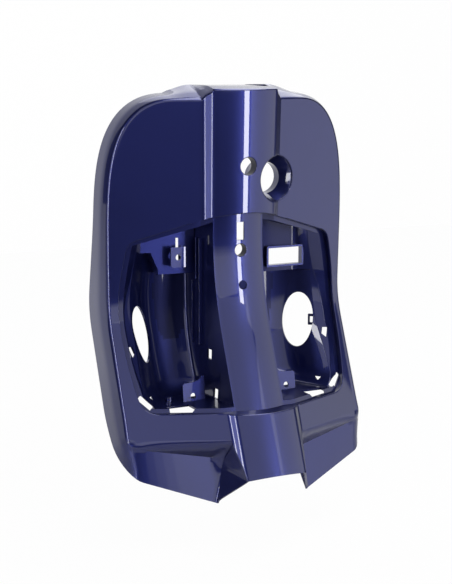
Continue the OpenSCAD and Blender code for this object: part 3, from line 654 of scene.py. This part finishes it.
def fittings(shield):
    """Rails, bracket, boss and staple, each one piece with its wall."""
    rail_foot_z = pocket_floor_z + 75
    for side in (1, -1):
        for y, z0, z1 in ((step_y - 4, rail_foot_z, step_z - 4), (step_y - 18, step_z, door_corner_z),
                          (step_y - 30, rail_foot_z, door_corner_z)):
            x = inset_half_w + rail_in
            rail = [(side * x, d) for x, d in rect(x, x + rail_w, y, y + rail_t, 0.6)]
            add(shield, along_z(rail, z0, z1))
    x0, x1 = -bracket_x - bracket_w / 2, -bracket_x + bracket_w / 2
    z0, z1, y, corner = bracket_z - bracket_h / 2, bracket_z + bracket_h / 2, step_y - bracket_d, 5
    plate = [(x1, z0), (x1, z1), (x0, z1)]
    plate += [(x0 + corner - corner * math.cos(a), z0 + corner - corner * math.sin(a))
              for a in np.linspace(0, math.pi / 2, 7)]
    add(shield, loft("bracket", [[(x, d + fitting_turn * (x + bracket_x), z) for x, z in plate]
                                 for d in (y, y + wall)]))
    add(shield, prism("bracket", rect(x1 - wall, x1, z0, z1), y + 0.5, y + bracket_d + wall / 2))
    cut_off(shield, tube_y(-bracket_x, bracket_z, tab_hole_r, y - 2, y + wall + 2, True, 40))
    slit = rect(-bracket_x + 2, x1 - wall, bracket_z - 10, bracket_z + 28)
    cut_off(shield, prism("slot", slit, step_y - 2, step_y + wall + 2, True))
    boss = circle(boss_x, boss_y, tab_hole_r + 1, 32)
    add(shield, along_z(boss, pocket_floor_z - wall / 2, pocket_floor_z + boss_h))
    at = -oval_l / 2 - 2
    staple = slanted(1, rect(at, at + staple_l, -staple_h / 2, staple_h / 2, 0.8), 0, wall)
    eye = rect(at - 2, at - 2 + staple_eye_l, -staple_eye_h / 2, staple_eye_h / 2)
    cut_off(staple, slanted(1, eye, -2, wall + 2, True))
    add(shield, staple)


def lock_funnel(grow, cut=False):
    """Wide mouth that narrows to the lock's bore. Grown by a wall it is the collar around it."""
    front, back = (face_y(0, 0) - 20, lock_d) if cut else (face_y(0, 0), lock_d - 4)
    levels = ((front, funnel_x, funnel_r), (funnel_y, funnel_x, funnel_r),
              (bore_y, lock_x, bore_r), (back, lock_x, bore_r))
    return loft("funnel", [[(x, y, z) for x, z in circle(cx, lock_z, r + grow, 120)]
                           for y, cx, r in levels], cut)


# The whole shield

def thick_sheet():
    """The open sheet given its wall: its own points in front, one wall behind them, and the rim between."""
    points, faces = front_sheet()
    mesh = bpy.data.meshes.new("sheet")
    mesh.from_pydata([tuple(p) for p in points], [], faces)
    bm = bmesh.new()
    bm.from_mesh(mesh)
    bmesh.ops.recalc_face_normals(bm, faces=bm.faces)
    on_column = Vector((0, -9, 40))
    middle = min(bm.faces, key=lambda f: (f.calc_center_median() - on_column).length)
    if middle.normal.y > 0:
        bmesh.ops.reverse_faces(bm, faces=bm.faces)
    bm.normal_update()
    front, thickest = [np.array(v.co) for v in bm.verts], 1.15
    behind = [np.array(v.co - v.normal * wall * min(thickest, v.calc_shell_factor()))
              for v in bm.verts]
    n = len(front)
    out = [[v.index for v in f.verts] for f in bm.faces]
    back = [[i + n for i in f[::-1]] for f in out]
    rim = []
    for e in bm.edges:
        if len(e.link_faces) == 1:
            loop = e.link_loops[0]
            a, b = loop.vert.index, loop.link_loop_next.vert.index
            rim.append([b, a, a + n, b + n])
    bm.free()
    bpy.data.meshes.remove(mesh)
    return make_mesh("painted_shield", front + behind, out + back + rim, False, 38)


def opening(base, outline, surface, y0, y1, reach=lip_r):
    """Cuts an opening through along Y and rounds its front edge."""
    cut_off(base, prism("bore", outline, y0, y1, True))
    cut_off(base, lip(outline, surface, reach))


def build_shield():
    far_front, far_back, clear = -160, 200, 20
    shield = thick_sheet()
    backing = prism("door", door_outline(wall), far_front, far_back)
    keep_common(backing, behind_front())
    keep_common(backing, recess(wall))
    add(shield, backing)
    for side in (1, -1):
        add(shield, pocket(side, wall))
    door = prism("door", door_outline(), far_front, far_back, True)
    keep_common(door, recess(0, True))
    cut_off(shield, door)
    cut_off(shield, lip(door_outline(), face_y))
    cut_off(shield, pocket(1, 0, True))
    space = pocket(-1, 0, True)
    cut_off(space, upper_block(0))
    cut_off(shield, space)
    cut_off(shield, upper_block(wall, True))
    for side in (1, -1):
        cut_off(shield, oval(side))
    slots(shield)
    fittings(shield)
    hook_y, latch_y, dimple_y = face_y(0, 0), inset_y(0, latch_z), inset_y(0, dimple_z)
    add(shield, tube_y(0, 0, hook_r + wall, hook_y + wall / 2, hook_y + hook_d))
    add(shield, tube_y(0, latch_z, latch_r + wall, latch_y + wall / 2, latch_y + latch_d))
    socket = lock_funnel(wall)
    keep_common(socket, behind_front())
    add(shield, socket)
    for side in (1, -1):
        add(shield, tab(side))
    port_frame = rect_at(port_x, port_z, port_w + 2 * wall, port_h + 2 * wall, 2)
    add(shield, prism("port", port_frame, step_y - port_frame_d, step_y + wall))
    port = rect_at(port_x, port_z, port_w, port_h, 1)
    cut_off(shield, prism("port", port, step_y - port_frame_d - 4, step_y + 8, True))
    cut_off(shield, tube_y(0, dimple_z, dimple_r, dimple_y - 3, dimple_y + dimple_d, True))
    opening(shield, circle(0, 0, hook_r), face_y, hook_y - clear, hook_y + hook_d + 4)
    cut_off(shield, lock_funnel(0, True))
    cut_off(shield, lip(circle(funnel_x, lock_z, funnel_r, 120), face_y, lock_lip_r))
    opening(shield, circle(0, latch_z, latch_r), inset_y, latch_y - clear, latch_y + latch_d + 4,
            latch_lip_r)
    s, h = slot_w / 2, slot_h / 2
    window = [(-s, slot_z - h), (s, slot_z - h), (s, slot_z + h), (-s, slot_z + h)]
    opening(shield, window, inset_y, latch_y - clear, latch_y + clear, slot_lip_r)
    roof_hole = circle(roof_hole_x, roof_hole_y, roof_hole_r)
    cut_off(shield, loft("roof", [[(x, y, z) for x, y in roof_hole] for z in (100, 140)], True))
    for side in (1, -1):
        cut_off(shield, tube_y(side * tab_x, tab_z, tab_hole_r, tab_y - 10, tab_y + 10, True, 40))
    return shield


def paint_recess_shade(shield):
    """Painted shade in the recesses: none on the recessed part of the column, the most on the pockets' back
    walls, less on their side walls.
    """
    near, facing, back_wall_shade, side_wall_shade = 1.2, 0.97, 1.4, 0.4
    values = shield.data.attributes["painted_shade"].data
    inner = np.zeros(len(shield.data.polygons), np.float32)
    values.foreach_get("value", inner)
    for face in shield.data.polygons:
        x, y, z = face.center / MM
        if abs(x) < inset_half_w + 1 and z < door_top_z and y < inset_y(x, z) + near:
            inner[face.index] = 0.0
        elif inner[face.index] == 1.0:
            # Painted shade: back walls that face the front get more than the side walls
            inner[face.index] = back_wall_shade if abs(face.normal.y) > facing else side_wall_shade
    values.foreach_set("value", inner)


def use_kept_normals(shield):
    normals = np.zeros(len(shield.data.loops) * 3, np.float32)
    shield.data.attributes["kept_normal"].data.foreach_get("vector", normals)
    normals = normals.reshape(-1, 3)
    normals /= np.maximum(np.linalg.norm(normals, axis=1), 1e-6)[:, None]
    shield.data.normals_split_custom_set(normals.tolist())
    shield.data.attributes.remove(shield.data.attributes["kept_normal"])


shield = build_shield()
paint_recess_shade(shield)
use_kept_normals(shield)


# Finishes

class Shade:
    """A socket of one material's nodes, so that shader maths reads as expressions."""

    def __init__(self, tree, socket):
        self.tree, self.socket = tree, socket

    def _math(self, operation, a, b):
        node = self.tree.nodes.new("ShaderNodeMath")
        node.operation = operation
        for socket, value in zip(node.inputs, (a, b)):
            if isinstance(value, Shade):
                self.tree.links.new(value.socket, socket)
            else:
                socket.default_value = value
        return Shade(self.tree, node.outputs[0])

    def __add__(self, other): return self._math("ADD", self, other)
    def __radd__(self, other): return self._math("ADD", other, self)
    def __rsub__(self, other): return self._math("SUBTRACT", other, self)
    def __mul__(self, other): return self._math("MULTIPLY", self, other)


class Finish:
    """A material under construction."""

    def __init__(self, name, **settings):
        self.material = bpy.data.materials.new(name)
        self.material.use_nodes = True
        self.tree = self.material.node_tree
        self.shader = self.tree.nodes["Principled BSDF"]
        for socket, value in settings.items():
            self.shader.inputs[socket.replace("_", " ")].default_value = value

    def node(self, kind, settings=None, output=0, **sockets):
        """Adds a node. A socket is given by its name, or by at and its number."""
        made = self.tree.nodes.new(kind)
        for key, value in (settings or {}).items():
            setattr(made, key, value)
        for key, value in sockets.items():
            at = int(key[2:]) if key.startswith("at") else key.replace("_", " ")
            if isinstance(value, Shade):
                self.tree.links.new(value.socket, made.inputs[at])
            else:
                made.inputs[at].default_value = value
        return Shade(self.tree, made.outputs[output])

    def mix(self, share, first, second):
        return self.node("ShaderNodeMix", {"data_type": "RGBA"}, 2, at0=share, at6=first, at7=second)

    def set(self, socket, value):
        self.tree.links.new(value.socket, self.shader.inputs[socket])

    def place(self):
        return self.node("ShaderNodeTexCoord", output=3)


def navy_paint():
    """Dark navy metallic paint under a clear coat, with its flake and the faint ripple of a sprayed coat,
    and painted shade in recesses and bores.
    """
    deep_navy, bright_navy = (0.006, 0.009, 0.065, 1), (0.014, 0.02, 0.135, 1)
    # Near black that the painted shade in recesses and bores darkens towards
    shade_black = (0.002, 0.002, 0.004, 1)
    paint = Finish("navy_paint", Metallic=0.85, Coat_Roughness=0.03, Coat_IOR=1.5)
    # Each step of the painted shade takes this share off the paint's colour, towards near black, and off its
    # coat
    shade_step, dull, base_rough, flake_rough = 0.4, 0.25, 0.3, 0.12
    painted_shade = paint.node("ShaderNodeAttribute", {"attribute_name": "painted_shade"}, 2)
    unshaded = 1.0 - painted_shade * shade_step
    place = paint.place()
    flake = paint.node("ShaderNodeTexNoise", Vector=place, Scale=2600.0, Detail=1.0)
    cloud = paint.node("ShaderNodeTexNoise", Vector=place, Scale=9.0, Detail=2.0)
    colour = paint.mix(flake * 0.7 + cloud * 0.3, deep_navy, bright_navy)
    # Painted shade: the colour goes towards near black in recesses and bores
    paint.set("Base Color", paint.mix(unshaded, shade_black, colour))
    paint.set("Coat Weight", unshaded)
    paint.set("Roughness", base_rough + flake * flake_rough + (1.0 - unshaded) * dull)
    ripple = paint.node("ShaderNodeTexNoise", Vector=place, Scale=220.0, Detail=1.0)
    paint.set("Normal", paint.node("ShaderNodeBump", Strength=0.03, Distance=0.0004, Height=ripple))
    return paint.material


shield.data.materials.clear()
shield.data.materials.append(navy_paint())
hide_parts("leg_shield")
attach(shield, "root")


# Camera, floor and light, in metres and degrees

def look_from(position, direction, target_object):
    target_object.location = position
    target_object.rotation_euler = Vector(direction).to_track_quat("-Z", "Y").to_euler()


# The photo's camera: where it stands, how it is turned, and its focal length and height in pixels
photo_place, photo_yaw, photo_pitch = (-0.8994, -1.7377, 0.1558), 0.46251, 0.17467253
photo_focal, photo_h = 1322.09, 584
camera = bpy.data.objects.new("camera", bpy.data.cameras.new("camera"))
scene.collection.objects.link(camera)
sight = (math.sin(photo_yaw) * math.cos(photo_pitch), math.cos(photo_yaw) * math.cos(photo_pitch),
         -math.sin(photo_pitch))
look_from(photo_place, sight, camera)
camera.data.sensor_width = 36
camera.data.lens = photo_focal / photo_h * 36
scene.camera = camera


def stage_plane(name, corners, colour):
    """Floor or backdrop: white to the camera, and far back also white in reflections and through glass."""
    mesh = bpy.data.meshes.new(name)
    mesh.from_pydata(corners, [], [(0, 1, 2, 3)])
    plane = bpy.data.objects.new(name, mesh)
    scene.collection.objects.link(plane)
    finish = Finish(name, Base_Color=colour, Roughness=0.6)
    tree = finish.tree
    rays = tree.nodes.new("ShaderNodeLightPath")
    glow = tree.nodes.new("ShaderNodeEmission")
    glow.inputs["Strength"].default_value = 1.0
    mixed = tree.nodes.new("ShaderNodeMixShader")
    depth = finish.node("ShaderNodeSeparateXYZ", None, 1, at0=finish.place())
    far = finish.node("ShaderNodeMapRange", Value=depth, From_Min=0.3, From_Max=1.3)
    camera_ray, glossy_ray, through_ray = (
        Shade(tree, rays.outputs[kind])
        for kind in ("Is Camera Ray", "Is Glossy Ray", "Is Transmission Ray"))
    seen = camera_ray + (glossy_ray + through_ray) * far
    tree.links.new((seen * 0.97).socket, mixed.inputs[0])
    tree.links.new(finish.shader.outputs[0], mixed.inputs[1])
    tree.links.new(glow.outputs[0], mixed.inputs[2])
    tree.links.new(mixed.outputs[0], tree.nodes["Material Output"].inputs[0])
    mesh.materials.append(finish.material)


stage_w, stage_front, stage_back, stage_low, stage_top = 6, -0.6, 3, -0.56, 7
stage_plane("floor", [(-stage_w, stage_front, stage_low), (stage_w, stage_front, stage_low),
                      (stage_w, stage_back, stage_low), (-stage_w, stage_back, stage_low)],
            (0.6, 0.6, 0.62, 1))
stage_plane("backdrop", [(-stage_w, stage_back, stage_low), (stage_w, stage_back, stage_low),
                         (stage_w, stage_back, stage_top), (-stage_w, stage_back, stage_top)],
            (0.9, 0.9, 0.9, 1))


def softbox(name, side, height, distance, size, brightness):
    """Soft lamp facing the part. side is in degrees to the right of straight ahead of its front."""
    lamp = bpy.data.lights.new(name, "AREA")
    lamp.shape, lamp.size, lamp.size_y = "RECTANGLE", size[0], size[1]
    lamp.energy = brightness * math.pi * size[0] * size[1]
    holder = bpy.data.objects.new(name, lamp)
    scene.collection.objects.link(holder)
    t = math.radians(side)
    position = Vector((distance * math.sin(t), -distance * math.cos(t), height))
    look_from(position, Vector((0, 0, min(height, -0.1))) - position, holder)


softbox("strip", 22, 0.1, 5.0, (0.75, 2.6), 17)
softbox("right_wall", 54, 0.05, 3.4, (3.1, 2.5), 1.32)
softbox("left_strip", -62, -0.05, 1.8, (0.15, 1.4), 14)
softbox("left_wall", -68, 0.0, 3.0, (1.3, 2.4), 1.3)
# The front light is four lamps in one place, each smaller, so that its reflection fades at the edges
for k in range(4):
    softbox("far_front", -9.5, 0.76 + 0.09 * k, 8.0, (8.2 - 0.6 * k, 2.68 - 0.18 * k), 0.37)
softbox("ceiling", 0, 2.9, 4.0, (7.0, 3.9), 0.9)
softbox("overhead", 60, 2.6, 0.9, (3.0, 1.6), 5)
softbox("top_back", 150, 2.7, 2.6, (4.0, 2.6), 1.35)


def studio_world():
    """White to the camera, and dim to everything else."""
    world = bpy.data.worlds.new("studio")
    world.use_nodes = True
    tree = world.node_tree
    dim, white = tree.nodes["Background"], tree.nodes.new("ShaderNodeBackground")
    for background, strength in ((dim, 0.06), (white, 1.0)):
        background.inputs["Color"].default_value = (1, 1, 1, 1)
        background.inputs["Strength"].default_value = strength
    rays, mixed = tree.nodes.new("ShaderNodeLightPath"), tree.nodes.new("ShaderNodeMixShader")
    tree.links.new(rays.outputs["Is Camera Ray"], mixed.inputs[0])
    tree.links.new(dim.outputs[0], mixed.inputs[1])
    tree.links.new(white.outputs[0], mixed.inputs[2])
    tree.links.new(mixed.outputs[0], tree.nodes["World Output"].inputs[0])
    return world


scene.world = studio_world()
scene.view_settings.view_transform = "Standard"
